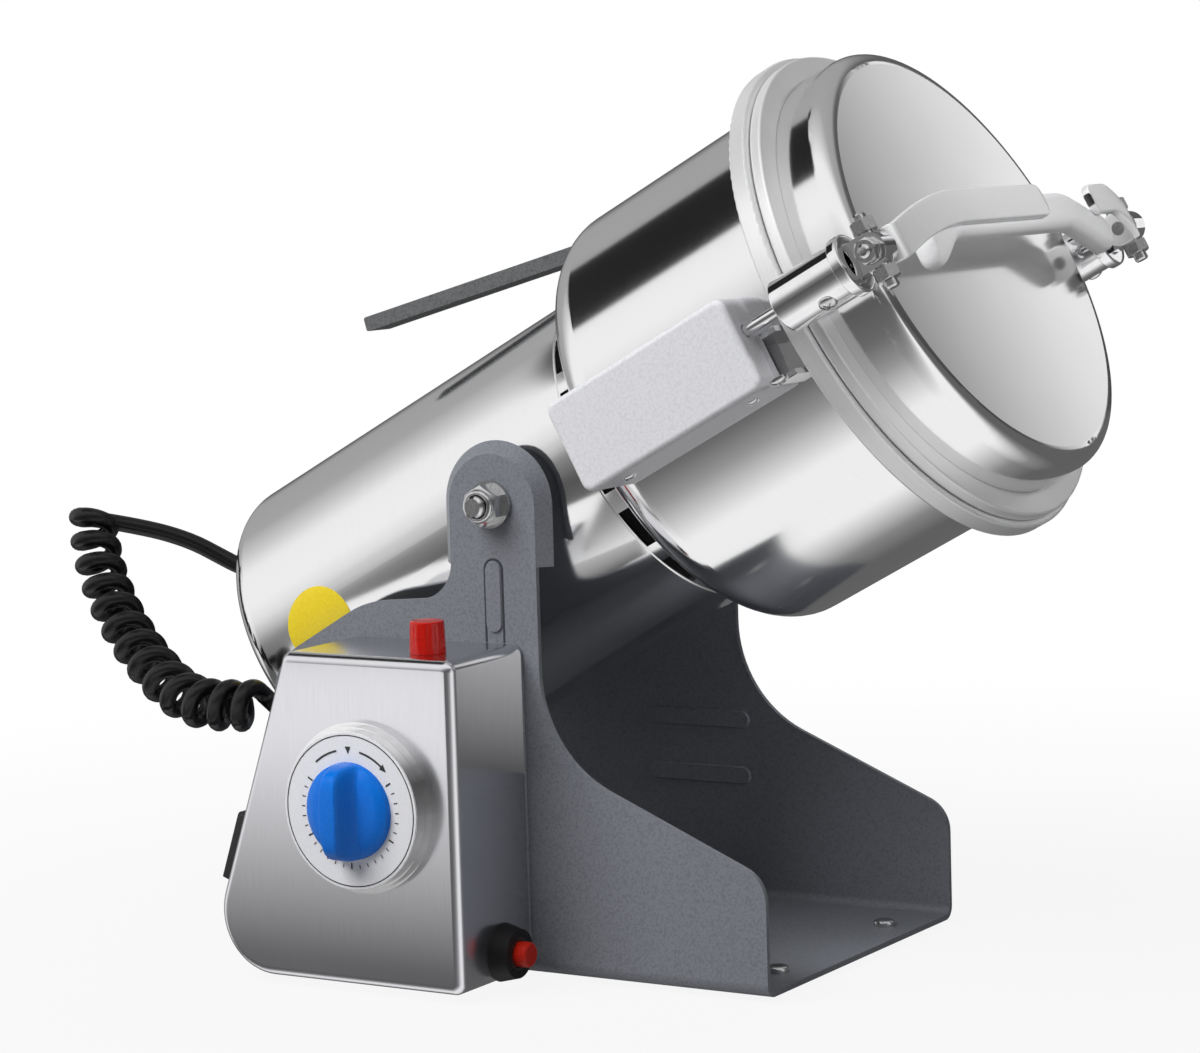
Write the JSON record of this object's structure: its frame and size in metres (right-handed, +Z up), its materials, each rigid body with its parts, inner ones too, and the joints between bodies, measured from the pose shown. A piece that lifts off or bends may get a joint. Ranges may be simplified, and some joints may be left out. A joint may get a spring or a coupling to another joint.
{
  "type": "tilting electric grinder",
  "caption": "Bench grinder with a steel motor barrel and bowl that tilt in a U bracket, a clamped lid with a fold-up handle, and a timer box joined by a curly cord.",
  "frame": {"origin": "on the surface it stands on, under the middle of the box round its rigid pieces", "axes": "+Z up; +X the way the bowl points; +Y from the control box across to the far cheek"},
  "size_m": [0.4045, 0.2544, 0.3258],
  "materials": {
    "stainless": "polished stainless steel sheet with faint turning lines",
    "satin_ring": "satin turned stainless steel",
    "hammertone": "mid-grey hammertone powder coat",
    "housing_paint": "light silver hammertone paint",
    "lever_paint": "dark grey satin paint",
    "chrome": "bright chrome plate",
    "fasteners": "bright zinc-plated steel",
    "blade_steel": "ground stainless steel",
    "rubber": "black rubber",
    "seal_rubber": "pale silicone rubber",
    "cord_jacket": "glossy black flexible jacket",
    "black_plastic": "black moulded plastic",
    "grey_plastic": "dark grey moulded plastic",
    "grip_plastic": "light grey moulded plastic",
    "blue_plastic": "glossy blue moulded plastic",
    "dial_white": "white printed plate",
    "red_lens": "clear red moulded lens",
    "red_plastic": "red moulded plastic",
    "motor_steel": "stacked electrical steel",
    "copper": "copper",
    "cast_aluminium": "black-coated cast aluminium"
  },
  "bodies": {
    "base": {"bracket": "hammertone", "rubber_feet": "rubber", "foot_screws": "fasteners", "pivot_bushes": "black_plastic", "control_box": "stainless", "box_back_plate": "hammertone", "box_screws": "fasteners", "timer_body": "black_plastic", "timer_bezel": "chrome", "timer_dial": "dial_white", "indicator_lamp": "red_lens", "breaker_body": "black_plastic", "breaker_boot": "rubber", "rocker_frame": "black_plastic", "box_gland": "black_plastic", "cord_lead": "cord_jacket", "cord_coil": "cord_jacket"},
    "head": {"motor_barrel": "stainless", "barrel_gland": "grey_plastic", "pivot_bosses": "fasteners", "pivot_studs": "fasteners", "pivot_washers": "fasteners", "pivot_nuts": "fasteners", "stator_core": "motor_steel", "field_coils": "copper", "rear_bearing_plate": "cast_aluminium", "front_bearing_plate": "cast_aluminium", "bearings": "fasteners", "brush_holders": "black_plastic", "vent_collar": "stainless", "bowl": "stainless", "bowl_ring": "satin_ring", "shaft_seal": "rubber", "switch_housing": "housing_paint", "microswitch": "black_plastic", "switch_lug": "chrome", "swing_lever": "lever_paint"},
    "rotor": {"motor_shaft": "fasteners", "armature": "motor_steel", "commutator": "copper", "cooling_fan": "cast_aluminium", "lower_blade": "blade_steel", "middle_blade": "blade_steel", "upper_blade": "blade_steel", "blade_spacers": "fasteners", "blade_nut": "fasteners"},
    "lid": {"lid_shell": "stainless", "lid_seal": "seal_rubber", "lid_sleeves": "chrome", "sleeve_saddles": "chrome", "knuckles": "chrome", "hinge_bolts": "fasteners"},
    "handle": {"handle_arm": "chrome", "handle_grip": "grip_plastic", "handle_clip": "chrome"},
    "interlock": {"interlock_pin": "chrome"},
    "knob": {"timer_knob": "blue_plastic"},
    "button": {"reset_button": "red_plastic"},
    "rocker": {"rocker_paddle": "black_plastic"}
  },
  "joints": [
    {"name": "head_swing", "type": "hinge", "parent": "base", "child": "head", "pos_m": [-0.02129, 0.015, 0.171], "axis": [0, -1, 0], "range_deg": [-53, 61], "deforming": ["cord_lead", "cord_coil"]},
    {"name": "rotor_spin", "type": "hinge", "parent": "head", "child": "rotor", "pos_m": [-0.02129, 0.015, 0.171], "axis": [0.8805, 0, 0.4741], "continuous": true},
    {"name": "lid_lift", "type": "slide", "parent": "head", "child": "lid", "axis": [0.8805, 0, 0.4741], "range_m": [0, 0.06]},
    {"name": "handle_swing", "type": "hinge", "parent": "lid", "child": "handle", "pos_m": [0.14847, 0.015, 0.2607], "axis": [0, 1, 0], "range_deg": [0, 95]},
    {"name": "pin_slide", "type": "slide", "parent": "lid", "child": "interlock", "axis": [0.8805, 0, 0.4741], "range_m": [0, 0.008]},
    {"name": "timer_turn", "type": "hinge", "parent": "base", "child": "knob", "pos_m": [-0.04819, -0.104, 0.0681], "axis": [0, 1, 0], "range_deg": [-40, 300]},
    {"name": "reset_press", "type": "slide", "parent": "base", "child": "button", "axis": [-1, 0, 0], "range_m": [0, 0.003], "stiffness_N_per_m": 300, "springref_m": -0.001},
    {"name": "rocker_tip", "type": "hinge", "parent": "base", "child": "rocker", "pos_m": [-0.10719, -0.0925, 0.048], "axis": [0, 1, 0], "range_deg": [-8, 8]}
  ],
  "couplings": [
    {"joint": "handle_swing", "follows": "pin_slide", "rad_per_m": 207}
  ]
}
